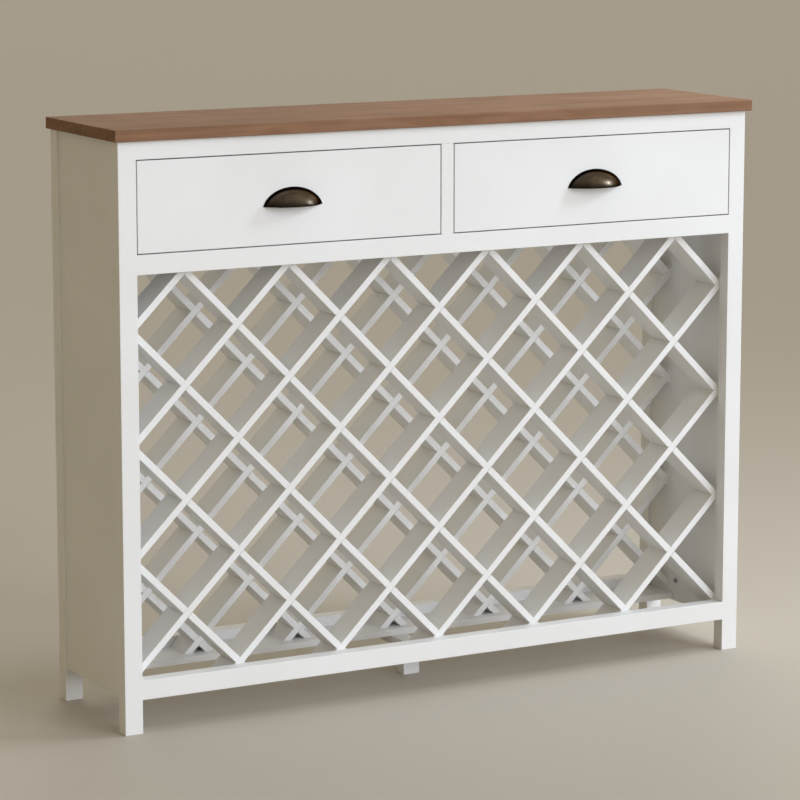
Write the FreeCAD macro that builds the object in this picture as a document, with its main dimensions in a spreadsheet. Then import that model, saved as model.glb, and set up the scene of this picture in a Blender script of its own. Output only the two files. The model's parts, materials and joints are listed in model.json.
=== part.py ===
import FreeCAD, Part
import os
import re
import Sketcher

# Wine cabinet: a white post-and-rail body with a brown top, and two drawers on roller runners
# above an open diamond rack of crossed slats. Millimetres, +Z up, front towards -Y.
# The origin is the middle of the whole object's footprint, on the floor.

SIZES = {
    # Body, over the four posts
    "body_width": 1000,
    "body_depth": 228,
    "post_width": 26,
    "post_depth": 22,
    "floor_gap": 47,
    "bottom_rail_height": 27,
    "mid_rail_height": 27,
    "drawer_opening_height": 127,
    "top_rail_height": 25,
    "stile_width": 19.5,
    "panel_thickness": 18,
    "panel_recess": 3,
    "board_thickness": 12,
    "bottom_board_thickness": 9,
    "rear_board_width": 66,
    "sill_height": 9,
    "bearer_length": 128,
    "edge_round": 0.8,
    # Top
    "top_thickness": 16,
    "top_side_overhang": 7,
    "top_front_overhang": 8,
    "top_edge_round": 1.5,
    # Rack of crossed slats
    "rack_columns": 6,
    "rack_rows": 3.5,
    "rack_lift": 2,
    "slat_thickness": 9.5,
    "slat_depth": 50,
    "slat_edge_round": 0.8,
    "notch_play": 0.2,
    # Screws
    "screw_radius": 2,
    "screw_head_radius": 4,
    "screw_head_height": 2.4,
    "screw_play": 0.05,
    "panel_screw_length": 14,
    "panel_screw_height": 79,
    "panel_screw_setback": 133,
    # Drawers
    "drawer_reveal": 1.5,
    "drawer_front_thickness": 18,
    "drawer_side_thickness": 12,
    "drawer_side_height": 100,
    "drawer_side_gap": 12.5,
    "drawer_lift": 8,
    "drawer_rear_gap": 10,
    "drawer_bottom_thickness": 5,
    "drawer_bottom_lift": 6,
    "groove_depth": 6,
    "groove_play": 0.4,
    # Cup pulls
    "pull_width": 85,
    "pull_height": 23.5,
    "pull_projection": 24,
    "pull_sink": 0.2,
    "pull_lift": 53.8,
    "pull_rim": 2.2,
    "pull_wall": 1.8,
    "pull_screw_spacing": 64,
    "pull_screw_lift": 5,
    "pull_screw_length": 23,
    "pull_screw_hole_play": 0.25,
    "pull_lug_radius": 3.5,
    "pull_lug_hole_depth": 5.5,
    # Runners and rollers
    "runner_sheet": 1.5,
    "runner_reach": 8.5,
    "runner_foot": 10,
    "runner_front_gap": 1,
    "runner_rear_gap": 6,
    "roller_radius": 8.5,
    "roller_width": 6,
    "roller_bevel": 0.7,
    "roller_play": 0.3,
    "roller_side_gap": 1,
    "roller_bore_play": 0.05,
    "axle_radius": 2,
    "axle_head_radius": 3,
    "axle_head_height": 0.6,
    "axle_head_gap": 0.1,
    "front_roller_setback": 11,
    "rear_roller_setback": 16,
}

FULL_TURN = 360
SIDES = ("left", "right")
SIGN = {"left": "-", "right": "+"}

# The edges of a block, by number
ALL_EDGES = range(1, 13)
EDGES_ALONG_X = (9, 10, 11, 12)
UPRIGHT_EDGES = (1, 3, 5, 7)
FOOT_EDGES = (4, 8, 9, 11)
# The upright edge of each post that meets the ends of the rails
JOINT_EDGE = {"front_left": 5, "front_right": 1, "rear_left": 7, "rear_right": 3}

# Levels, from the floor up
rack_low = "(floor_gap + bottom_rail_height + rack_lift)"
board_top = "(floor_gap + board_thickness)"
board_low = f"({board_top} - bottom_board_thickness)"
bearer_low = f"({board_low} - board_thickness)"
pitch = "((body_width - 2 * post_width) / rack_columns)"
mid_low = f"({rack_low} + rack_rows * {pitch})"
mid_high = f"({mid_low} + mid_rail_height)"
bay_floor_top = f"({mid_high} - sill_height)"
bay_floor_low = f"({bay_floor_top} - board_thickness)"
bay_high = f"({mid_high} + drawer_opening_height)"
body_high = f"({bay_high} + top_rail_height)"
drawer_low = f"({mid_high} + drawer_lift)"
drawer_bottom_low = f"({drawer_low} + drawer_bottom_lift)"
drawer_bottom_top = f"({drawer_bottom_low} + drawer_bottom_thickness)"
pull_low = f"({mid_high} + pull_lift)"
pull_screw_height = f"({pull_low} + pull_screw_lift)"

# A pull's dome: its centre is sunk below its lower edge and behind the drawer, by a share of its radii
dome_share = "(sqrt(1 - pull_sink ^ 2) - pull_sink)"
dome_rise = f"(pull_height / {dome_share})"
dome_reach = f"(pull_projection / {dome_share})"
dome_half = "(pull_width / 2 / sqrt(1 - 2 * pull_sink ^ 2))"

# Depths, from the posts' front face backwards; the pulls are the only pieces in front of the top
front = "((pull_projection - body_depth) / 2)"
rear = f"({front} + body_depth)"
inner_front = f"({front} + post_depth)"
inner_rear = f"({rear} - post_depth)"
inner_depth = "(body_depth - 2 * post_depth)"
box_front = f"({front} + drawer_front_thickness)"
box_rear = f"({inner_rear} - drawer_rear_gap)"
box_length = f"({box_rear} - {box_front})"

# Half widths, from the middle plane outwards
outer_half = "(body_width / 2)"
inner_half = "(body_width / 2 - post_width)"
panel_half = "(body_width / 2 - panel_recess - panel_thickness)"
drawer_centre = f"(({inner_half} + stile_width / 2) / 2)"
opening_half = f"(({inner_half} - stile_width / 2) / 2)"
box_half = f"({opening_half} - drawer_side_gap)"
inside_half = f"({box_half} - drawer_side_thickness)"

# Runner section: the rear roller runs inside the channel, and the drawer's flange on the front roller
channel_height = "(2 * (runner_sheet + roller_radius + roller_play))"
flange_low = f"({drawer_low} + {channel_height} + 2 * roller_play)"
roller_offset = "(runner_sheet + roller_side_gap)"
front_axle = (f"({inner_front} + front_roller_setback)",
              f"({flange_low} - roller_play - roller_radius)")
rear_axle = (f"({box_rear} - rear_roller_setback)",
             f"({drawer_low} + runner_sheet + roller_play + roller_radius)")

doc = FreeCAD.newDocument("wine_cabinet")
sheet = doc.addObject("Spreadsheet::Sheet", "sizes")
for row, (size_name, value) in enumerate(SIZES.items(), start=1):
    sheet.set(f"A{row}", size_name)
    sheet.set(f"B{row}", str(value))
    sheet.setAlias(f"B{row}", size_name)
doc.recompute()

nodes = {}


# Helpers: sizes and places are formulas over the sheet

def in_sheet(formula):
    """Point every size name in a formula at its cell."""
    return re.sub(r"[a-z_]+", lambda word: f"sizes.{word[0]}" if word[0] in SIZES else word[0], formula)


def bind(item, **formulas):
    """Bind an object's properties to formulas."""
    for name, formula in formulas.items():
        item.setExpression(name, in_sheet(formula))


def place(item, x, y, z):
    """Bind an object's position to three formulas."""
    for axis, formula in zip("xyz", (x, y, z)):
        item.setExpression(f"Placement.Base.{axis}", in_sheet(formula))


def turn(item, axis, angle):
    """Turn an object about a line through its own origin."""
    item.Placement = FreeCAD.Placement(FreeCAD.Vector(), FreeCAD.Rotation(FreeCAD.Vector(*axis), angle))


def keep(name, item):
    """Make an object one of the cabinet's pieces."""
    item.Label = name
    nodes[name] = item
    return item


def box(name, corner, size):
    """A plain block from its low corner and its three sizes."""
    item = doc.addObject("Part::Box", name)
    bind(item, Length=size[0], Width=size[1], Height=size[2])
    place(item, *corner)
    return item


def rod_along_x(name, start, radius, length):
    item = doc.addObject("Part::Cylinder", name)
    turn(item, (0, 1, 0), 90)
    bind(item, Radius=radius, Height=length)
    place(item, *start)
    return item


def rod_along_y(name, start, radius, length):
    item = doc.addObject("Part::Cylinder", name)
    turn(item, (1, 0, 0), -90)
    bind(item, Radius=radius, Height=length)
    place(item, *start)
    return item


def fuse(name, items):
    item = doc.addObject("Part::MultiFuse", name)
    item.Shapes = items
    return item


def cut(name, base, tools):
    item = doc.addObject("Part::Cut", name)
    item.Base = base
    item.Tool = tools[0] if len(tools) == 1 else fuse(f"{name}_tools", tools)
    return item


def common(name, base, tool):
    item = doc.addObject("Part::Common", name)
    item.Base = base
    item.Tool = tool
    return item


def group(name, items):
    """Like pieces that share one node, each a solid of its own."""
    item = doc.addObject("Part::Compound", name)
    item.Links = items
    return keep(name, item)


def eased(name, block, radius="edge_round", edges=ALL_EDGES):
    """Round the edges of a block that show, as sanded and painted boards are."""
    item = doc.addObject("Part::Fillet", f"{name}_eased")
    item.Base = block
    item.Edges = [(edge, SIZES[radius], SIZES[radius]) for edge in edges]
    return item


def board(name, corner, size, radius="edge_round", edges=ALL_EDGES):
    """A board with eased edges, kept as a piece."""
    return keep(name, eased(name, box(f"{name}_block", corner, size), radius, edges))


def turned(name, outline):
    """A piece turned about its own X axis, from (along, radius) formulas round its half section."""
    body = doc.addObject("PartDesign::Body", name)
    sketch = body.newObject("Sketcher::SketchObject", f"{name}_section")
    plane = next(item for item in body.Origin.OriginFeatures if item.Role == "XY_Plane")
    sketch.AttachmentSupport = (plane, [""])
    sketch.MapMode = "FlatFace"
    count = len(outline)
    rough = [FreeCAD.Vector(corner + 1, (corner + 1) ** 2, 0) for corner in range(count)]
    for corner in range(count):
        sketch.addGeometry(Part.LineSegment(rough[corner], rough[(corner + 1) % count]), False)
    for corner in range(count):
        sketch.addConstraint(Sketcher.Constraint("Coincident", corner, 2, (corner + 1) % count, 1))
    for corner, formulas in enumerate(outline):
        for kind, formula, start in zip(("DistanceX", "DistanceY"), formulas, rough[corner]):
            index = sketch.addConstraint(Sketcher.Constraint(kind, -1, 1, corner, 1, start))
            sketch.setExpression(f"Constraints[{index}]", in_sheet(formula))
    revolution = body.newObject("PartDesign::Revolution", f"{name}_turning")
    revolution.Profile = sketch
    revolution.ReferenceAxis = (sketch, ["H_Axis"])
    revolution.Angle = FULL_TURN
    return body


def screw(name, length, heading, head):
    """A pan-head screw from the middle of its head's face, running level at a heading in degrees."""
    tip = f"screw_head_height + {length}"
    body = turned(name, [("0", "0"), ("0", "screw_head_radius"), ("screw_head_height", "screw_head_radius"),
                         ("screw_head_height", "screw_radius"), (tip, "screw_radius"), (tip, "0")])
    turn(body, (0, 0, 1), heading)
    place(body, *head)
    return body


def outwards(side, start, width):
    """Low X of a piece that starts at a distance from the middle plane and reaches outwards."""
    return f"({start})" if side == "right" else f"(-({start}) - ({width}))"


# Body: posts, panels, rails and shelves

def posts(side):
    for end, depth in (("front", front), ("rear", inner_rear)):
        corner = (outwards(side, inner_half, "post_width"), depth, "0")
        shown = [edge for edge in UPRIGHT_EDGES + FOOT_EDGES if edge != JOINT_EDGE[f"{end}_{side}"]]
        board(f"{end}_{side}_post", corner, ("post_width", "post_depth", body_high), edges=shown)


def side_panel(side):
    """A panel between the posts, set back from their outer faces, with a screw hole in its inner face."""
    corner = (outwards(side, panel_half, "panel_thickness"), inner_front, "floor_gap")
    blank = box(f"{side}_panel_blank", corner, ("panel_thickness", inner_depth, f"{body_high} - floor_gap"))
    hole_start = (outwards(side, panel_half, "panel_screw_length"), f"{front} + panel_screw_setback",
                  "panel_screw_height")
    hole = rod_along_x(f"{side}_panel_hole", hole_start, "screw_radius + screw_play", "panel_screw_length")
    keep(f"{side}_side_panel", cut(f"{side}_side_panel", blank, [hole]))


def panel_screws():
    screws = []
    for side, heading in (("left", 180), ("right", 0)):
        head = (f"0 {SIGN[side]} ({panel_half} - screw_head_height)", f"{front} + panel_screw_setback",
                "panel_screw_height")
        screws.append(screw(f"{side}_panel_screw", "panel_screw_length", heading, head))
    group("panel_screws", screws)


def rail(name, depth, low, thickness, height):
    """A board across the body, between a left and a right post."""
    board(name, (f"-{inner_half}", depth, low), (f"2 * {inner_half}", thickness, height), edges=EDGES_ALONG_X)


def rails():
    rail("front_bottom_rail", front, "floor_gap", "post_depth", "bottom_rail_height")
    rail("front_mid_rail", front, mid_low, "post_depth", "mid_rail_height")
    rail("front_top_rail", front, bay_high, "post_depth", "top_rail_height")
    rail("rear_bottom_rail", inner_rear, "floor_gap", "post_depth", "bottom_rail_height")
    rail("rear_apron", inner_rear, mid_low, "board_thickness", f"{body_high} - {mid_low}")


def drawer_bay():
    board("centre_stile", ("-stile_width / 2", front, mid_high),
          ("stile_width", "post_depth", "drawer_opening_height"), edges=UPRIGHT_EDGES)
    keep("drawer_bay_floor", box("drawer_bay_floor", (f"-{panel_half}", inner_front, bay_floor_low),
                                 (f"2 * {panel_half}", inner_depth, "board_thickness")))
    keep("drawer_divider", box("drawer_divider", ("-stile_width / 2", inner_front, bay_floor_top),
                               ("stile_width", inner_depth, f"{body_high} - {bay_floor_top}")))


def top_board():
    board("top_board", (f"-{outer_half} - top_side_overhang", f"{front} - top_front_overhang", body_high),
          ("body_width + 2 * top_side_overhang", "body_depth + top_front_overhang", "top_thickness"),
          "top_edge_round")


# Under the rack: two boards with an open slot between them, tied by a bearer on a middle foot

def bottom_boards():
    """The front board is as deep as the slats that stand on it, and the rear one is deeper."""
    boards = []
    for end, depth, width in (("front", inner_front, "slat_depth"),
                              ("rear", f"{inner_rear} - rear_board_width", "rear_board_width")):
        boards.append(box(f"{end}_bottom_board", (f"-{panel_half}", depth, board_low),
                          (f"2 * {panel_half}", width, "bottom_board_thickness")))
    group("bottom_boards", boards)


def centre_support():
    middle = f"(({front} + {rear}) / 2)"
    board("centre_bearer", ("-post_width / 2", f"{middle} - bearer_length / 2", bearer_low),
          ("post_width", "bearer_length", "board_thickness"))
    board("centre_foot", ("-post_width / 2", f"{middle} - post_depth / 2", "0"),
          ("post_width", "post_depth", bearer_low))


# Rack: two like lattices, at the front and the rear, of slats halved into each other

SLAT_COUNT = int(SIZES["rack_columns"] + SIZES["rack_rows"])
SLAT_ANGLE = {"rising": -45, "falling": -135}
LATTICES = {"front": inner_front, "rear": f"({inner_rear} - slat_depth)"}


def slat_blank(name, slope, number, depth, width, thickness):
    """An over-long slat at 45 degrees, whose middle line runs through the rack's crossing points."""
    start = f"({board_top} - slat_thickness)"
    rise = f"({start} - {rack_low})"
    half = f"({thickness}) / 2 / sqrt(2)"
    if slope == "rising":
        steps = int(SIZES["rack_rows"]) + 1 - number
        x = f"{rise} - {inner_half} - ({steps}) * {pitch} + {half}"
        z = f"{start} - {half}"
    else:
        x = f"{number} * {pitch} - {inner_half} - {rise} + {half}"
        z = f"{start} + {half}"
    blank = doc.addObject("Part::Box", name)
    turn(blank, (0, 1, 0), SLAT_ANGLE[slope])
    length = f"({bay_floor_low} - {board_top} + 2 * slat_thickness) * sqrt(2)"
    bind(blank, Length=length, Width=width, Height=thickness)
    place(blank, x, depth, z)
    return blank


def notches(slope):
    """Room for the slats of one slope, in the half of the depth that they keep at a crossing."""
    tools = []
    for end, lattice_front in LATTICES.items():
        depth = lattice_front if slope == "rising" else f"{lattice_front} + slat_depth / 2"
        for number in range(1, SLAT_COUNT + 1):
            tools.append(slat_blank(f"{end}_{slope}_notch_{number}", slope, number, depth,
                                    "slat_depth / 2", "slat_thickness + 2 * notch_play"))
    return fuse(f"{slope}_notches", tools)


def rack():
    space = box("rack_space", (f"-{panel_half}", inner_front, board_top),
                (f"2 * {panel_half}", inner_depth, f"{bay_floor_low} - {board_top}"))
    crossing = {"rising": notches("falling"), "falling": notches("rising")}
    for slope in SLAT_ANGLE:
        for number in range(1, SLAT_COUNT + 1):
            name = f"{slope}_slat_{number}"
            slats = []
            for end, depth in LATTICES.items():
                blank = slat_blank(f"{end}_{name}", slope, number, depth, "slat_depth", "slat_thickness")
                slats.append(eased(f"{end}_{name}", blank, "slat_edge_round"))
            trimmed = common(f"{name}_trimmed", fuse(f"{name}_pair", slats), space)
            keep(name, cut(name, trimmed, [crossing[slope]]))


# Drawers: an inset front, two sides, a back, and a bottom let into grooves

def drawer_box(side, centre):
    name = f"{side}_drawer"
    groove_half = f"({inside_half} + groove_depth)"
    groove_corner = (f"{centre} - {groove_half}", f"{box_front} - groove_depth", drawer_bottom_low)
    groove_size = (f"2 * {groove_half}", f"{box_length} + 2 * groove_depth",
                   "drawer_bottom_thickness + groove_play")
    groove = box(f"{name}_groove", groove_corner, groove_size)
    drawer_front(name, centre, groove)
    for hand, x in (("left", f"{centre} - {box_half}"), ("right", f"{centre} + {inside_half}")):
        blank = box(f"{name}_{hand}_blank", (x, box_front, drawer_low),
                    ("drawer_side_thickness", box_length, "drawer_side_height"))
        keep(f"{name}_{hand}_side", cut(f"{name}_{hand}_side", blank, [groove]))
    back_corner = (f"{centre} - {inside_half}", f"{box_rear} - drawer_side_thickness", drawer_bottom_top)
    back_size = (f"2 * {inside_half}", "drawer_side_thickness",
                 f"{drawer_low} + drawer_side_height - {drawer_bottom_top}")
    keep(f"{name}_back", box(f"{name}_back", back_corner, back_size))
    bottom_half = f"({groove_half} - groove_play)"
    bottom_corner = (f"{centre} - {bottom_half}", f"{box_front} - groove_depth + groove_play",
                     drawer_bottom_low)
    bottom_size = (f"2 * {bottom_half}", f"{box_length} + groove_depth - groove_play",
                   "drawer_bottom_thickness")
    keep(f"{name}_bottom", box(f"{name}_bottom", bottom_corner, bottom_size))


def drawer_front(name, centre, groove):
    half = f"({opening_half} - drawer_reveal)"
    blank = box(f"{name}_front_blank", (f"{centre} - {half}", front, f"{mid_high} + drawer_reveal"),
                (f"2 * {half}", "drawer_front_thickness", "drawer_opening_height - 2 * drawer_reveal"))
    tools = [groove]
    for hand in SIDES:
        start = (f"{centre} {SIGN[hand]} pull_screw_spacing / 2", front, pull_screw_height)
        tools.append(rod_along_y(f"{name}_{hand}_screw_hole", start, "screw_radius + pull_screw_hole_play",
                                 "drawer_front_thickness"))
    keep(f"{name}_front", cut(f"{name}_front", eased(f"{name}_front", blank), tools))


# Cup pulls: a half-moon shell with a flat rim, open below, and two lugs for its screws

def dome(name, centre, inset):
    """The ellipsoid that a cup is cut from, smaller by an inset all round."""
    item = doc.addObject("Part::Ellipsoid", name)
    bind(item, Radius1=f"{dome_rise} - ({inset})", Radius2=f"{dome_half} - ({inset})",
         Radius3=f"{dome_reach} - ({inset})")
    place(item, centre, f"{front} + pull_sink * {dome_reach}", f"{pull_low} - pull_sink * {dome_rise}")
    return item


def slice_in_front(name, centre, depth):
    """The space above the cup's lower edge, for a depth in front of the drawer."""
    return box(name, (f"{centre} - pull_width", f"{front} - {depth}", pull_low),
               ("2 * pull_width", depth, "2 * pull_height"))


def cup_pull(side, centre):
    name = f"{side}_cup_pull"
    rim = common(f"{name}_rim", dome(f"{name}_rim_dome", centre, "-pull_rim"),
                 slice_in_front(f"{name}_rim_slice", centre, "pull_rim"))
    cup = common(f"{name}_cup", dome(f"{name}_dome", centre, "0"),
                 slice_in_front(f"{name}_cup_slice", centre, "2 * pull_projection"))
    hollow = dome(f"{name}_hollow", centre, "pull_wall")
    shell = cut(f"{name}_shell", fuse(f"{name}_outside", [rim, cup]), [hollow])
    rods = []
    holes = []
    for hand in SIDES:
        x = f"{centre} {SIGN[hand]} pull_screw_spacing / 2"
        lug_start = (x, f"{front} - pull_projection", pull_screw_height)
        rods.append(rod_along_y(f"{name}_{hand}_lug", lug_start, "pull_lug_radius", "pull_projection"))
        hole_start = (x, f"{front} - pull_lug_hole_depth", pull_screw_height)
        holes.append(rod_along_y(f"{name}_{hand}_hole", hole_start, "screw_radius + screw_play",
                                 "pull_lug_hole_depth"))
    core = dome(f"{name}_core", centre, "pull_wall / 2")
    lugs = common(f"{name}_lugs", fuse(f"{name}_lug_rods", rods), core)
    keep(name, cut(name, fuse(f"{name}_with_lugs", [shell, lugs]), holes))


def pull_screws(side, centre):
    screws = []
    for hand in SIDES:
        x = f"{centre} {SIGN[hand]} pull_screw_spacing / 2"
        head = (x, f"{box_front} + screw_head_height", pull_screw_height)
        screws.append(screw(f"{side}_{hand}_pull_screw", "pull_screw_length", -90, head))
    group(f"{side}_pull_screws", screws)


# Runners: a channel on the body and an angle on the drawer, each with a roller

def from_wall(hand, centre, offset, width):
    """Low X of a piece at an offset from the opening's wall, on the drawer's left or right hand."""
    if hand == "left":
        return f"{centre} - {opening_half} + {offset}"
    return f"{centre} + {opening_half} - {offset} - ({width})"


def cabinet_runner(side, hand, centre):
    """A channel open to the drawer, cut back at its front for the roller that stands on its own axle."""
    name = f"{side}_{hand}_channel"
    start = f"({inner_front} + runner_front_gap)"
    end = f"({inner_rear} - runner_rear_gap)"
    flange_start = f"({front_axle[0]} + roller_radius + 2 * runner_sheet)"
    pieces = [box(f"{name}_web", (from_wall(hand, centre, "0", "runner_sheet"), start, drawer_low),
                  ("runner_sheet", f"{end} - {start}", channel_height))]
    flange_x = from_wall(hand, centre, "0", "runner_reach")
    for level, low in (("low", drawer_low), ("high", f"{drawer_low} + {channel_height} - runner_sheet")):
        pieces.append(box(f"{name}_{level}_flange", (flange_x, flange_start, low),
                          ("runner_reach", f"{end} - {flange_start}", "runner_sheet")))
    stem = f"({roller_offset} + roller_width + axle_head_gap)"
    stem_start = (from_wall(hand, centre, "0", stem), *front_axle)
    pieces.append(rod_along_x(f"{name}_axle", stem_start, "axle_radius", stem))
    head_start = (from_wall(hand, centre, stem, "axle_head_height"), *front_axle)
    pieces.append(rod_along_x(f"{name}_axle_head", head_start, "axle_head_radius", "axle_head_height"))
    return fuse(name, pieces)


def drawer_runner(side, hand, centre):
    """An angle under and beside the drawer side, with a flange on top and an axle near its rear end."""
    name = f"{side}_{hand}_angle"
    start = f"({box_front} + runner_front_gap)"
    length = f"{box_rear} - {start}"
    low = f"({drawer_low} - runner_sheet)"
    web_offset = "(drawer_side_gap - runner_sheet)"
    reach = f"(drawer_side_gap - {roller_offset})"
    stem_offset = f"({roller_offset} - axle_head_gap)"
    stem = f"({web_offset} - {stem_offset})"
    head_offset = f"({stem_offset} - axle_head_height)"
    head_start = (from_wall(hand, centre, head_offset, "axle_head_height"), *rear_axle)
    return fuse(name, [
        box(f"{name}_web", (from_wall(hand, centre, web_offset, "runner_sheet"), start, low),
            ("runner_sheet", length, f"{flange_low} + runner_sheet - {low}")),
        box(f"{name}_foot", (from_wall(hand, centre, web_offset, "runner_foot"), start, low),
            ("runner_foot", length, "runner_sheet")),
        box(f"{name}_flange", (from_wall(hand, centre, roller_offset, reach), start, flange_low),
            (reach, length, "runner_sheet")),
        rod_along_x(f"{name}_axle", (from_wall(hand, centre, stem_offset, stem), *rear_axle),
                    "axle_radius", stem),
        rod_along_x(f"{name}_axle_head", head_start, "axle_head_radius", "axle_head_height"),
    ])


def roller(name, hand, centre, axle):
    bore = "axle_radius + roller_bore_play"
    shoulder = "roller_radius - roller_bevel"
    body = turned(name, [("0", bore), ("0", shoulder), ("roller_bevel", "roller_radius"),
                         ("roller_width - roller_bevel", "roller_radius"), ("roller_width", shoulder),
                         ("roller_width", bore)])
    place(body, from_wall(hand, centre, roller_offset, "roller_width"), *axle)
    return body


def moving_runners(side, centre):
    group(f"{side}_drawer_runners", [drawer_runner(side, hand, centre) for hand in SIDES])
    for end, axle in (("front", front_axle), ("rear", rear_axle)):
        rollers = [roller(f"{side}_{hand}_{end}_roller", hand, centre, axle) for hand in SIDES]
        group(f"{side}_{end}_rollers", rollers)


def runner_spacers():
    """Strips that bring the side panels' inner faces out to the edge of the drawer openings."""
    width = f"({panel_half} - {inner_half})"
    strips = []
    for side in SIDES:
        corner = (outwards(side, inner_half, width), inner_front, drawer_low)
        strips.append(box(f"{side}_spacer", corner, (width, inner_depth, channel_height)))
    group("runner_spacers", strips)


# Assembly

channels = []
for half, half_centre in (("left", f"(-{drawer_centre})"), ("right", drawer_centre)):
    posts(half)
    side_panel(half)
    drawer_box(half, half_centre)
    cup_pull(half, half_centre)
    pull_screws(half, half_centre)
    moving_runners(half, half_centre)
    channels += [cabinet_runner(half, hand, half_centre) for hand in SIDES]
group("cabinet_runners", channels)
runner_spacers()
panel_screws()
rails()
drawer_bay()
top_board()
bottom_boards()
centre_support()
rack()
doc.recompute()

# Every object must have built, and every piece must be sound, before any file is written
for item in doc.Objects:
    if {"Invalid", "Error"} & set(item.State):
        raise RuntimeError(f"{item.Name} did not build: {item.State}")
for name, item in nodes.items():
    if item.Shape.isNull() or not item.Shape.isValid() or not item.Shape.Solids:
        raise RuntimeError(f"{name} has no sound shape")

os.makedirs("parts", exist_ok=True)
for name, item in nodes.items():
    item.Shape.exportStep(f"parts/{name}.step")
print(f"{len(nodes)} pieces")
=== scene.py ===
"""Looks of the wine cabinet: painted boards, a stained top, bronze pulls and screws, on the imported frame."""
import json
import math

import bmesh
import bpy
from mathutils import Matrix, Vector


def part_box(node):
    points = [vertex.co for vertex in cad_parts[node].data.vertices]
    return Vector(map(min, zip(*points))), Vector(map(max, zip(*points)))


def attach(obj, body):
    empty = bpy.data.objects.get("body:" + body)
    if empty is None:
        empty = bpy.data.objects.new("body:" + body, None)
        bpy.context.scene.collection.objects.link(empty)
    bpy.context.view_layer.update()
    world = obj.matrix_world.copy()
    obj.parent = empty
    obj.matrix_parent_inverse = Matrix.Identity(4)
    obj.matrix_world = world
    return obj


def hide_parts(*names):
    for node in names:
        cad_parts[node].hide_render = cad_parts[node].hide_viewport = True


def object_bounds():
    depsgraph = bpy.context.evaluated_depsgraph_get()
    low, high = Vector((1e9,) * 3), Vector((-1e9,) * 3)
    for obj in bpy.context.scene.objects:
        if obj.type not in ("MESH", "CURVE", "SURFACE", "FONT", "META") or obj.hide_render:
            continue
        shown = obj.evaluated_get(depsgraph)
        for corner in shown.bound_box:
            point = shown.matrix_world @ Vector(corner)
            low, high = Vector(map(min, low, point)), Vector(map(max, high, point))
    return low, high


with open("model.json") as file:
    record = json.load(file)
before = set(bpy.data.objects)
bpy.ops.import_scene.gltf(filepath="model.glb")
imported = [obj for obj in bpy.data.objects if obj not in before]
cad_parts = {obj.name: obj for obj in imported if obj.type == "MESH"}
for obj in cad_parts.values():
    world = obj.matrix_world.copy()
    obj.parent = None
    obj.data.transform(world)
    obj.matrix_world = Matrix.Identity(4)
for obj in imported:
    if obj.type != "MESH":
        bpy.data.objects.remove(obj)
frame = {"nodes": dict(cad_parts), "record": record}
cad_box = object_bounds()
SIDES = ("left", "right")
MM = 0.001


# Node helpers

def feed(tree, socket, value):
    """Link a socket to another one, or give it a value of its own."""
    if isinstance(value, bpy.types.NodeSocket):
        tree.links.new(value, socket)
    else:
        socket.default_value = value


def node(tree, kind, sockets=None, **settings):
    """Add a shader node with its settings and what goes into its sockets."""
    made = tree.nodes.new(f"ShaderNode{kind}")
    for name, value in settings.items():
        setattr(made, name, value)
    for name, value in (sockets or {}).items():
        feed(tree, made.inputs[name], value)
    return made


def new_material(name, **sockets):
    """A material with one shader, whose plain values are set on its own sockets."""
    made = bpy.data.materials.new(name)
    made.use_nodes = True
    shader = made.node_tree.nodes["Principled BSDF"]
    for label, value in sockets.items():
        shader.inputs[label.replace("_", " ")].default_value = value
    return made, made.node_tree, shader


def noise(tree, scale, detail=3.0, roughness=0.5, distortion=0.0):
    """Noise over the piece's own coordinates in metres; scale is one number, or one for each axis."""
    place = node(tree, "TexCoord").outputs["Object"]
    if not isinstance(scale, (int, float)):
        place = node(tree, "Mapping", {"Vector": place, "Scale": scale}).outputs["Vector"]
        scale = 1.0
    made = node(tree, "TexNoise", {"Vector": place, "Scale": scale, "Detail": detail, "Roughness": roughness,
                                   "Distortion": distortion})
    return made.outputs["Fac"]


def spread(tree, value, low, high, new_low=0.0, new_high=1.0):
    """Stretch a value from one range to another, and stop at its ends."""
    made = node(tree, "MapRange", {"Value": value, "From Min": low, "From Max": high,
                                   "To Min": new_low, "To Max": new_high})
    return made.outputs["Result"]


def math_node(tree, operation, first, second):
    """Work out one value from two."""
    made = node(tree, "Math", operation=operation)
    feed(tree, made.inputs[0], first)
    feed(tree, made.inputs[1], second)
    return made.outputs["Value"]


def weighted(tree, *parts):
    """Add up values, each times its weight."""
    terms = [math_node(tree, "MULTIPLY", value, weight) for value, weight in parts]
    total = terms[0]
    for term in terms[1:]:
        total = math_node(tree, "ADD", total, term)
    return total


def mixed(tree, share, first, second):
    """Mix two colours by a share."""
    made = node(tree, "Mix", data_type="RGBA")
    feed(tree, made.inputs["Factor"], share)
    feed(tree, made.inputs[6], first)
    feed(tree, made.inputs[7], second)
    return made.outputs[2]


def ramp(tree, value, stops):
    """A colour ramp from (position, colour) stops."""
    made = node(tree, "ValToRGB", {"Fac": value})
    elements = made.color_ramp.elements
    while len(elements) < len(stops):
        elements.new(1.0)
    for element, (position, colour) in zip(elements, stops):
        element.position = position
        element.color = (*colour, 1.0)
    return made.outputs["Color"]


def bump(tree, shader, height, strength, distance):
    """Let a fine height show in the light on a surface."""
    made = node(tree, "Bump", {"Height": height, "Strength": strength, "Distance": distance})
    tree.links.new(made.outputs["Normal"], shader.inputs["Normal"])


# Colours, each as one value or as (position, colour) stops

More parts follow.
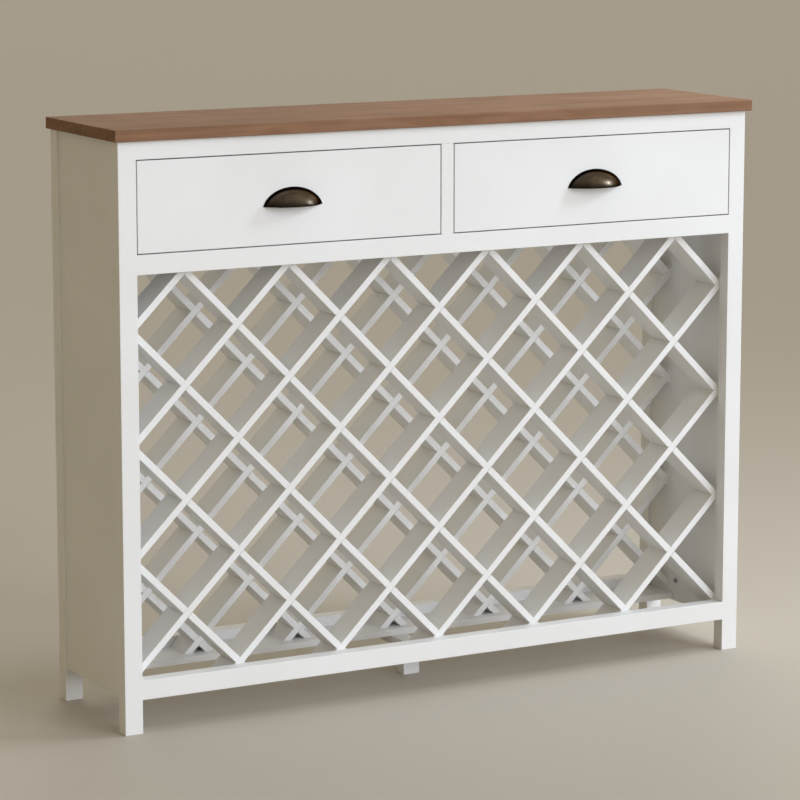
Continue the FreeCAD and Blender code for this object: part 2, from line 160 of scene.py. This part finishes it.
WHITE = (0.83, 0.83, 0.83, 1.0)
WHITE_DULL = (0.80, 0.80, 0.795, 1.0)
STAIN = [(0.30, (0.180, 0.092, 0.052)), (0.50, (0.245, 0.130, 0.076)), (0.70, (0.315, 0.178, 0.108))]
STAIN_FADED = (0.225, 0.135, 0.082, 1.0)
STAIN_IN_PORES = (0.10, 0.05, 0.032, 1.0)
BARE_WOOD = [(0.30, (0.47, 0.33, 0.20)), (0.48, (0.60, 0.45, 0.29)), (0.70, (0.69, 0.55, 0.38))]
# The dark bronze is patina plus painted shade for the pull's edges; the brown is the colour of its swell
BRONZE_PATINA_AND_SHADE = [(0.35, (0.013, 0.010, 0.008)), (0.65, (0.027, 0.021, 0.016))]
BRONZE_SWELL = [(0.35, (0.080, 0.064, 0.048)), (0.65, (0.140, 0.112, 0.084))]
BRONZE_SHEEN = (0.30, 0.25, 0.20, 1.0)
ZINC = [(0.35, (0.22, 0.22, 0.225)), (0.65, (0.42, 0.42, 0.425))]
COATING = (0.80, 0.80, 0.78, 1.0)
COATING_DULL = (0.74, 0.74, 0.715, 1.0)
NYLON = (0.78, 0.77, 0.72, 1.0)
NYLON_SCUFFED = (0.62, 0.61, 0.57, 1.0)

# How far from the drawer, and up from the lip, a pull goes from dark to the brown of its swell. The dark near
# the drawer is patina in the crease plus painted shade; the dark along the lip is painted shade and a painted
# dark reflection

RIM_PATINA_AND_SHADE_FADE = (2 * MM, 7 * MM)
LIP_SHADE_FADE = (1 * MM, 10 * MM)


# Materials

def white_paint():
    """Satin paint: a faint cloudiness over a rolled-on surface."""
    made, tree, shader = new_material("white_paint")
    clouds = spread(tree, noise(tree, 7.0), 0.35, 0.65)
    tree.links.new(mixed(tree, clouds, WHITE, WHITE_DULL), shader.inputs["Base Color"])
    feed(tree, shader.inputs["Roughness"], spread(tree, noise(tree, 60.0), 0.3, 0.7, 0.38, 0.48))
    bump(tree, shader, noise(tree, 700.0, detail=2.0), strength=0.08, distance=0.2 * MM)
    return made


def stained_wood():
    """Reddish-brown stained wood with its grain along X, under a dull lacquer."""
    made, tree, shader = new_material("brown_wood", Specular_IOR_Level=0.12)
    rings = node(tree, "TexWave", {"Vector": node(tree, "TexCoord").outputs["Object"], "Scale": 9.0,
                                   "Distortion": 9.0, "Detail": 3.0, "Detail Scale": 0.9},
                 wave_type="RINGS", rings_direction="X").outputs["Fac"]
    streaks = noise(tree, (2.2, 110.0, 110.0), detail=5.0, roughness=0.6)
    fibres = noise(tree, (14.0, 900.0, 900.0), roughness=0.6)
    pores = spread(tree, noise(tree, (60.0, 1700.0, 1700.0), detail=2.0), 0.62, 0.72)
    stain = ramp(tree, weighted(tree, (rings, 0.12), (streaks, 0.63), (fibres, 0.25)), STAIN)
    faded = spread(tree, noise(tree, (1.6, 9.0, 9.0)), 0.35, 0.65, 0.0, 0.4)
    stain = mixed(tree, faded, stain, STAIN_FADED)
    stain = mixed(tree, math_node(tree, "MULTIPLY", pores, 0.3), stain, STAIN_IN_PORES)
    tree.links.new(stain, shader.inputs["Base Color"])
    feed(tree, shader.inputs["Roughness"], spread(tree, streaks, 0.3, 0.7, 0.62, 0.52))
    bump(tree, shader, math_node(tree, "SUBTRACT", fibres, pores), strength=0.12, distance=0.15 * MM)
    return made


def bare_wood(name, along):
    """Pale unpainted board with its grain along one axis."""
    made, tree, shader = new_material(name)
    axis = "XYZ".index(along)

    def stretched(length, width):
        return tuple(length if place == axis else width for place in range(3))

    streaks = noise(tree, stretched(3.0, 95.0), detail=5.0, roughness=0.55, distortion=0.4)
    fibres = noise(tree, stretched(18.0, 800.0))
    figure = weighted(tree, (streaks, 0.75), (fibres, 0.25))
    tree.links.new(ramp(tree, figure, BARE_WOOD), shader.inputs["Base Color"])
    feed(tree, shader.inputs["Roughness"], spread(tree, fibres, 0.3, 0.7, 0.52, 0.66))
    bump(tree, shader, fibres, strength=0.15, distance=0.15 * MM)
    return made


def bronze():
    """Dark antique bronze: mottled, and browner on the swell of a pull; darker near the drawer, as patina in
    the crease plus painted shade, and along the lip, as painted shade and a painted dark reflection.
    """
    made, tree, shader = new_material("bronze", Metallic=1.0, Specular_Tint=BRONZE_SHEEN)
    mottle = weighted(tree, (noise(tree, 90.0, detail=4.0), 0.6), (noise(tree, 600.0), 0.4))
    low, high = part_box("left_cup_pull")
    place = node(tree, "SeparateXYZ", {"Vector": node(tree, "TexCoord").outputs["Object"]}).outputs
    # Painted shade: the pull darkens towards the drawer (partly patina in the crease) and towards its lower
    # lip, where it stands in for a dark reflection
    clear_of_rim_patina_and_shade = spread(tree, place["Y"], high.y - RIM_PATINA_AND_SHADE_FADE[0], high.y - RIM_PATINA_AND_SHADE_FADE[1])
    clear_of_lip_shade = spread(tree, place["Z"], low.z + LIP_SHADE_FADE[0], low.z + LIP_SHADE_FADE[1])
    clear_of_patina_and_shade = math_node(tree, "MULTIPLY", clear_of_rim_patina_and_shade, clear_of_lip_shade)
    colour = mixed(tree, clear_of_patina_and_shade, ramp(tree, mottle, BRONZE_PATINA_AND_SHADE), ramp(tree, mottle, BRONZE_SWELL))
    tree.links.new(colour, shader.inputs["Base Color"])
    feed(tree, shader.inputs["Roughness"], spread(tree, mottle, 0.35, 0.65, 0.34, 0.25))
    bump(tree, shader, noise(tree, 900.0, detail=2.0), strength=0.05, distance=0.1 * MM)
    return made


def steel():
    """Plain zinc-grey screws, dull in patches."""
    made, tree, shader = new_material("steel", Metallic=1.0)
    tarnish = noise(tree, 350.0, detail=4.0)
    tree.links.new(ramp(tree, tarnish, ZINC), shader.inputs["Base Color"])
    feed(tree, shader.inputs["Roughness"], spread(tree, tarnish, 0.3, 0.7, 0.42, 0.28))
    return made


def coated_steel():
    """White baked coating on the runners, with the fine peel that it cures to."""
    made, tree, shader = new_material("coated_steel")
    clouds = spread(tree, noise(tree, 30.0), 0.35, 0.65)
    tree.links.new(mixed(tree, clouds, COATING, COATING_DULL), shader.inputs["Base Color"])
    feed(tree, shader.inputs["Roughness"], spread(tree, clouds, 0.0, 1.0, 0.36, 0.46))
    bump(tree, shader, noise(tree, 1100.0, detail=2.0), strength=0.1, distance=0.15 * MM)
    return made


def roller_plastic():
    """Milky nylon with scuffs from running on the steel."""
    made, tree, shader = new_material("roller_plastic", Subsurface_Weight=0.15, Subsurface_Scale=0.002)
    scuffs = spread(tree, noise(tree, (900.0, 60.0, 60.0), detail=4.0), 0.45, 0.7)
    tree.links.new(mixed(tree, scuffs, NYLON, NYLON_SCUFFED), shader.inputs["Base Color"])
    feed(tree, shader.inputs["Roughness"], spread(tree, scuffs, 0.0, 1.0, 0.38, 0.55))
    return made


materials = {
    "white_paint": white_paint(),
    "brown_wood": stained_wood(),
    "drawer_wood": bare_wood("drawer_wood", "X"),
    "bronze": bronze(),
    "steel": steel(),
    "coated_steel": coated_steel(),
    "roller_plastic": roller_plastic(),
}
grain_to_rear = bare_wood("drawer_wood_sides", "Y")


def dress(piece, finish):
    """Give a piece one finish in place of what it had."""
    piece.data.materials.clear()
    piece.data.materials.append(finish)


for part in frame["record"]["subparts"]:
    runs_to_rear = part["node"].endswith("_side")
    dress(frame["nodes"][part["node"]], grain_to_rear if runs_to_rear else materials[part["material_slot"]])


# Mesh helpers

SHARP_ANGLE = math.radians(35)


def circle(radius, sides):
    """Corners evenly round a circle."""
    turns = [2 * math.pi * corner / sides for corner in range(sides)]
    return [(radius * math.cos(turn), radius * math.sin(turn)) for turn in turns]


def steps(end, count):
    """Evenly spaced values from minus an end to the end."""
    return [end * (2 * index / count - 1) for index in range(count + 1)]


def join_rings(builder, rings):
    """Put a band of faces between each closed ring of corners and the next."""
    count = len(rings[0])
    for ring, following in zip(rings, rings[1:]):
        for index in range(count):
            other = (index + 1) % count
            builder.faces.new((ring[index], ring[other], following[other], following[index]))


def add_ring_sweep(builder, loops):
    """Join closed loops of points into one closed skin, with a face over each end."""
    rings = [[builder.verts.new(point) for point in loop] for loop in loops]
    join_rings(builder, rings)
    builder.faces.new(rings[0])
    builder.faces.new(rings[-1])


def ring_edges(builder, ring):
    """The edges round a closed ring of corners."""
    return [builder.edges.get(ends) for ends in zip(ring, ring[1:] + ring[:1])]


def cut_level(builder, height):
    """Cut a mesh off at a height and close it there."""
    geometry = builder.verts[:] + builder.edges[:] + builder.faces[:]
    bmesh.ops.bisect_plane(builder, geom=geometry, plane_co=(0, 0, height), plane_no=(0, 0, -1),
                           clear_outer=True)
    bmesh.ops.holes_fill(builder, edges=[edge for edge in builder.edges if edge.is_boundary])


def new_piece(name, builder, body, slot, replaced):
    """Turn a finished bmesh into a piece that stands for a node and rides on its body."""
    mesh = bpy.data.meshes.new(name)
    bmesh.ops.recalc_face_normals(builder, faces=builder.faces)
    builder.to_mesh(mesh)
    builder.free()
    mesh.shade_smooth()
    mesh.set_sharp_from_angle(angle=SHARP_ANGLE)
    piece = bpy.data.objects.new(name, mesh)
    bpy.context.scene.collection.objects.link(piece)
    dress(piece, materials[slot])
    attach(piece, body)
    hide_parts(replaced)


# Cup pulls: a thin dome, cut off by the drawer's face and by its own level lower edge, with a rounded lip,
# a bead round its edge on the drawer, and two lugs inside for its screws

PULL_SINK = 0.2
PULL_RIM = 2.2 * MM
PULL_RIM_THICKNESS = 1.9 * MM
PULL_WALL = 1.8 * MM
PULL_LUG_RADIUS = 3.5 * MM
PULL_COLUMNS = 96
PULL_ROWS = 20
PULL_LIP_ROWS = 5
PULL_END = 0.985
PULL_RIM_END = 1.03
LUG_SIDES = 24
# The bead's outline, outward and forward, in shares of its width and its thickness
RIM_PROFILE = [(1.0, 0.0), (1.0, 0.45), (0.87, 0.82), (0.55, 1.0), (0.2, 0.9), (-0.1, 0.6), (-0.35, 0.4),
               (-0.35, 0.0)]


class CupPull:
    """One pull's dome, its centre sunk behind the drawer and below the lower edge by a share of its radii."""

    def __init__(self, side):
        low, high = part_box(f"{side}_cup_pull")
        self.foot = Vector(((low.x + high.x) / 2, high.y, low.z))
        share = math.sqrt(1 - PULL_SINK ** 2) - PULL_SINK
        half = ((high.x - low.x) / 2 - PULL_RIM) / math.sqrt(1 - 2 * PULL_SINK ** 2)
        self.radii = Vector((half, (high.y - low.y) / share, (high.z - low.z - PULL_RIM) / share))
        self.sunk = PULL_SINK * self.radii

    def at(self, across, forward, up):
        """A place on the pull, from the middle of its lower edge on the drawer."""
        return self.foot + Vector((across, -forward, up))

    def skin(self, along, inset, lip):
        """Points up the dome, less an inset, from the lip to the drawer, at a share of the way to its end."""
        radii = self.radii - Vector((inset, inset, inset))
        back = self.sunk.y / radii.y
        down = self.sunk.z / radii.z
        turn = along * math.acos(math.hypot(back, down))
        size = math.cos(turn)
        start = math.acos(min((down + lip / radii.z) / size, 1.0))
        stop = math.asin(back / size)
        points = []
        for row in range(PULL_ROWS + 1):
            angle = start + (stop - start) * row / PULL_ROWS
            points.append(Vector((radii.x * math.sin(turn),
                                  radii.y * (size * math.sin(angle) - back),
                                  radii.z * (size * math.cos(angle) - down))))
        return points

    def wall_section(self, along):
        """The closed outline of the wall: up its outside, down its inside and round its lip."""
        lip = PULL_WALL / 2 * math.sqrt(1 - along ** 2)
        outer = self.skin(along, 0.0, lip)
        inner = self.skin(along, PULL_WALL, lip)[::-1]
        rounding = []
        for row in range(1, PULL_LIP_ROWS):
            angle = math.pi * row / PULL_LIP_ROWS
            point = inner[-1].lerp(outer[0], (1 - math.cos(angle)) / 2)
            point.z = lip - lip * math.sin(angle)
            rounding.append(point)
        return [self.at(*point) for point in outer + inner + rounding]

    def rim_section(self, along):
        """The closed outline of the bead, square to the dome's edge on the drawer."""
        turn = along * math.acos(PULL_SINK * math.sqrt(2))
        up = math.sqrt(math.cos(turn) ** 2 - PULL_SINK ** 2)
        edge = Vector((self.radii.x * math.sin(turn), self.radii.z * (up - PULL_SINK)))
        outward = Vector((math.sin(turn) / self.radii.x, up / self.radii.z)).normalized()
        points = []
        for out, forward in RIM_PROFILE:
            place = edge + out * PULL_RIM * outward
            points.append(self.at(place.x, forward * PULL_RIM_THICKNESS, place.y))
        return points

    def wall_depth(self, across, up):
        """How far the middle of the wall stands from the drawer at a place."""
        radii = self.radii - Vector((PULL_WALL, PULL_WALL, PULL_WALL)) / 2
        left = 1 - (across / radii.x) ** 2 - ((up + self.sunk.z) / radii.z) ** 2
        return radii.y * math.sqrt(max(left, 0.0)) - self.sunk.y


def screw_places(side):
    """The middles of a pull's two screws across the front, their height, and their heads' radius."""
    low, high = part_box(f"{side}_pull_screws")
    head_radius = (high.z - low.z) / 2
    return (low.x + head_radius, high.x - head_radius), (low.z + high.z) / 2, head_radius


def cup_pull(side):
    """The pull of one drawer: its bead, its wall and its lugs."""
    pull = CupPull(side)
    builder = bmesh.new()
    add_ring_sweep(builder, [pull.rim_section(along) for along in steps(PULL_RIM_END, PULL_COLUMNS)])
    cut_level(builder, pull.foot.z)
    add_ring_sweep(builder, [pull.wall_section(along) for along in steps(PULL_END, PULL_COLUMNS)])
    screws_x, screws_z, _ = screw_places(side)
    for screw_x in screws_x:
        middle = screw_x - pull.foot.x
        height = screws_z - pull.foot.z
        ring = [(middle + across, height + up) for across, up in circle(PULL_LUG_RADIUS, LUG_SIDES)]
        base = [pull.at(across, 0.0, up) for across, up in ring]
        end = [pull.at(across, pull.wall_depth(across, up), up) for across, up in ring]
        add_ring_sweep(builder, [base, end])
    new_piece(f"{side}_cup_pull_shell", builder, f"{side}_drawer", "bronze", f"{side}_cup_pull")


for side in SIDES:
    cup_pull(side)


# Screws: pan heads with a cross recess

SCREW_SIDES = 32
SCREW_HEAD_HEIGHT = 2.4 * MM
SCREW_RADIUS = 2.0 * MM
SCREW_TIP = 2.0 * MM
# The pan head's outline, in shares of its radius and its height
HEAD_PROFILE = [(0.62, 0.0), (0.83, 0.1), (0.96, 0.38), (1.0, 0.7), (1.0, 1.0)]
RECESS_REACH = 0.46
RECESS_HALF_WIDTH = 0.11
RECESS_DEPTH = 1.3 * MM
RECESS_TAPER = 0.7


def add_screw(builder, head_face, heading, head_radius, length):
    """One screw from the middle of its head's face, pointing along a heading."""
    turned = Vector((0, 0, -1)).rotation_difference(heading)
    place = Matrix.Translation(head_face) @ turned.to_matrix().to_4x4()
    profile = [(out * head_radius, down * SCREW_HEAD_HEIGHT) for out, down in HEAD_PROFILE]
    profile += [(SCREW_RADIUS, SCREW_HEAD_HEIGHT), (SCREW_RADIUS, length - SCREW_TIP),
                (0.25 * SCREW_RADIUS, length)]
    rings = []
    for radius, down in profile:
        ring = [place @ Vector((x, y, -down)) for x, y in circle(radius, SCREW_SIDES)]
        rings.append([builder.verts.new(point) for point in ring])
    join_rings(builder, rings)
    builder.faces.new(rings[-1])
    add_recess(builder, place, rings[0], head_radius)


def add_recess(builder, place, rim, head_radius):
    """The flat of a screw's head with a cross let into it."""
    reach = RECESS_REACH * head_radius
    half = RECESS_HALF_WIDTH * head_radius
    corners = [(reach, -half), (reach, half), (half, half)]
    outline = []
    for quarter in range(4):
        turned = Matrix.Rotation(quarter * math.pi / 2, 2)
        outline += [turned @ Vector(corner) for corner in corners]
    upper = [builder.verts.new(place @ Vector((p.x, p.y, 0.0))) for p in outline]
    lower = [builder.verts.new(place @ Vector((p.x * RECESS_TAPER, p.y * RECESS_TAPER, -RECESS_DEPTH)))
             for p in outline]
    join_rings(builder, [upper, lower])
    builder.faces.new(lower)
    flat = ring_edges(builder, rim) + ring_edges(builder, upper)
    bmesh.ops.triangle_fill(builder, edges=flat, use_beauty=True)


def panel_screws():
    """The screw low on the inner face of each side panel."""
    low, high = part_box("panel_screws")
    middle = (low + high) / 2
    head_radius = (high.z - low.z) / 2
    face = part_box("right_side_panel")[0].x - SCREW_HEAD_HEIGHT
    builder = bmesh.new()
    for sign in (-1, 1):
        head = Vector((sign * face, middle.y, middle.z))
        add_screw(builder, head, Vector((sign, 0, 0)), head_radius, high.x - face)
    new_piece("panel_screws_cross_head", builder, "cabinet", "steel", "panel_screws")


def pull_screws(side):
    """The two screws through a drawer's front into its pull."""
    low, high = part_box(f"{side}_pull_screws")
    screws_x, screws_z, head_radius = screw_places(side)
    builder = bmesh.new()
    for screw_x in screws_x:
        head = Vector((screw_x, high.y, screws_z))
        add_screw(builder, head, Vector((0, -1, 0)), head_radius, high.y - low.y)
    new_piece(f"{side}_pull_screws_cross_head", builder, f"{side}_drawer", "steel", f"{side}_pull_screws")


panel_screws()
for side in SIDES:
    pull_screws(side)


# Stage: a pale floor, soft light from the front and from behind, and softboxes at the right and overhead.
# A strength of 1 lights a face that looks straight at the lamp to its own colour

FLOOR_HALF = 60.0
FLOOR_COLOUR = (0.52, 0.475, 0.41, 1.0)
FLOOR_ROUGHNESS = 0.6
BACKGROUND_LEFT = (0.28, 0.25, 0.20, 1.0)
BACKGROUND_RIGHT = (0.80, 0.74, 0.62, 1.0)
AMBIENT_LEVEL = (0.43, 0.345, 0.19, 1.0)
AMBIENT_ABOVE = (0.25, 0.235, 0.19, 1.0)
# Where the background goes from left to right, and the ambient light from level to above, in a direction's
# share of X and of Z
BACKGROUND_TURN = (-0.8, 0.5)
AMBIENT_TURN = (0.1, 0.9)
KEY_COLOUR = (0.815, 0.88, 1.0)
SOFTBOX_COLOUR = (0.83, 0.905, 1.0)
BEHIND_COLOUR = (1.0, 0.95, 0.86)
SOFTBOX_SIZE = 0.4


def floor():
    """A plain floor, far larger than any view of the object."""
    mesh = bpy.data.meshes.new("floor")
    builder = bmesh.new()
    bmesh.ops.create_grid(builder, x_segments=1, y_segments=1, size=FLOOR_HALF)
    builder.to_mesh(mesh)
    builder.free()
    made = bpy.data.objects.new("floor", mesh)
    bpy.context.scene.collection.objects.link(made)
    dress(made, new_material("floor", Base_Color=FLOOR_COLOUR, Roughness=FLOOR_ROUGHNESS)[0])


def surroundings():
    """Light from all round, and a pale background, dimmer at the left, for what looks past the object."""
    world = bpy.data.worlds.new("surroundings")
    world.use_nodes = True
    bpy.context.scene.world = world
    tree = world.node_tree
    direction = node(tree, "SeparateXYZ", {"Vector": node(tree, "TexCoord").outputs["Generated"]}).outputs
    ambient = tree.nodes["Background"]
    overhead = spread(tree, direction["Z"], *AMBIENT_TURN)
    feed(tree, ambient.inputs["Color"], mixed(tree, overhead, AMBIENT_LEVEL, AMBIENT_ABOVE))
    lit_side = spread(tree, direction["X"], *BACKGROUND_TURN)
    backdrop = mixed(tree, lit_side, BACKGROUND_LEFT, BACKGROUND_RIGHT)
    plain = node(tree, "Background", {"Color": backdrop, "Strength": 1.0})
    path = node(tree, "LightPath").outputs
    seen = math_node(tree, "MAXIMUM", path["Is Camera Ray"], path["Is Glossy Ray"])
    seen = math_node(tree, "MAXIMUM", seen, path["Is Transmission Ray"])
    mix = node(tree, "MixShader", {"Fac": seen})
    tree.links.new(ambient.outputs["Background"], mix.inputs[1])
    tree.links.new(plain.outputs["Background"], mix.inputs[2])
    tree.links.new(mix.outputs["Shader"], tree.nodes["World Output"].inputs["Surface"])


def place_lamp(name, lamp, direction):
    """Put a lamp in the scene, shining from a direction."""
    made = bpy.data.objects.new(name, lamp)
    made.rotation_mode = "QUATERNION"
    made.rotation_quaternion = direction.to_track_quat("Z", "Y")
    bpy.context.scene.collection.objects.link(made)
    return made


def soft_light(name, direction, strength, spread_angle, colour):
    """Even light from a wide patch of sky, which polished things don't mirror."""
    lamp = bpy.data.lights.new(name, "SUN")
    lamp.energy = strength * math.pi
    lamp.color = colour
    lamp.angle = math.radians(spread_angle)
    place_lamp(name, lamp, Vector(direction)).visible_glossy = False


def softbox(name, place, strength, mirrored):
    """A square lamp near the object, which falls off across it, and which polished things may mirror."""
    place = Vector(place)
    direction = place - (cad_box[0] + cad_box[1]) / 2
    lamp = bpy.data.lights.new(name, "AREA")
    lamp.size = SOFTBOX_SIZE
    lamp.color = SOFTBOX_COLOUR
    lamp.energy = strength * math.pi ** 2 * direction.length_squared
    made = place_lamp(name, lamp, direction)
    made.location = place
    made.visible_glossy = mirrored


# Camera: the photograph's place and angle, in metres and radians, and its focal length in pixels

IMAGE_SIZE = 800
FOCAL_PIXELS = 3256.0
CAMERA_PLACE = Vector((-2.2305, -4.0286, 1.220))
CAMERA_YAW = -0.5019
CAMERA_PITCH = -0.1629
CAMERA_SHIFT_Y = -0.05


def camera():
    """The camera at the photograph's viewing angle."""
    lens = bpy.data.cameras.new("camera")
    lens.lens = lens.sensor_width * FOCAL_PIXELS / IMAGE_SIZE
    lens.shift_y = CAMERA_SHIFT_Y
    made = bpy.data.objects.new("camera", lens)
    made.location = CAMERA_PLACE
    made.rotation_euler = (math.pi / 2 + CAMERA_PITCH, 0.0, CAMERA_YAW)
    bpy.context.scene.collection.objects.link(made)
    bpy.context.scene.camera = made


floor()
surroundings()
soft_light("key", direction=(0.36, -0.91, 0.20), strength=0.84, spread_angle=50, colour=KEY_COLOUR)
soft_light("behind", direction=(0.25, 0.93, 0.27), strength=0.32, spread_angle=60, colour=BEHIND_COLOUR)
softbox("side", place=(1.8, -1.0, 1.75), strength=0.28, mirrored=True)
softbox("overhead", place=(1.1, -0.2, 2.1), strength=0.345, mirrored=False)
camera()
bpy.context.scene.view_settings.view_transform = "Standard"
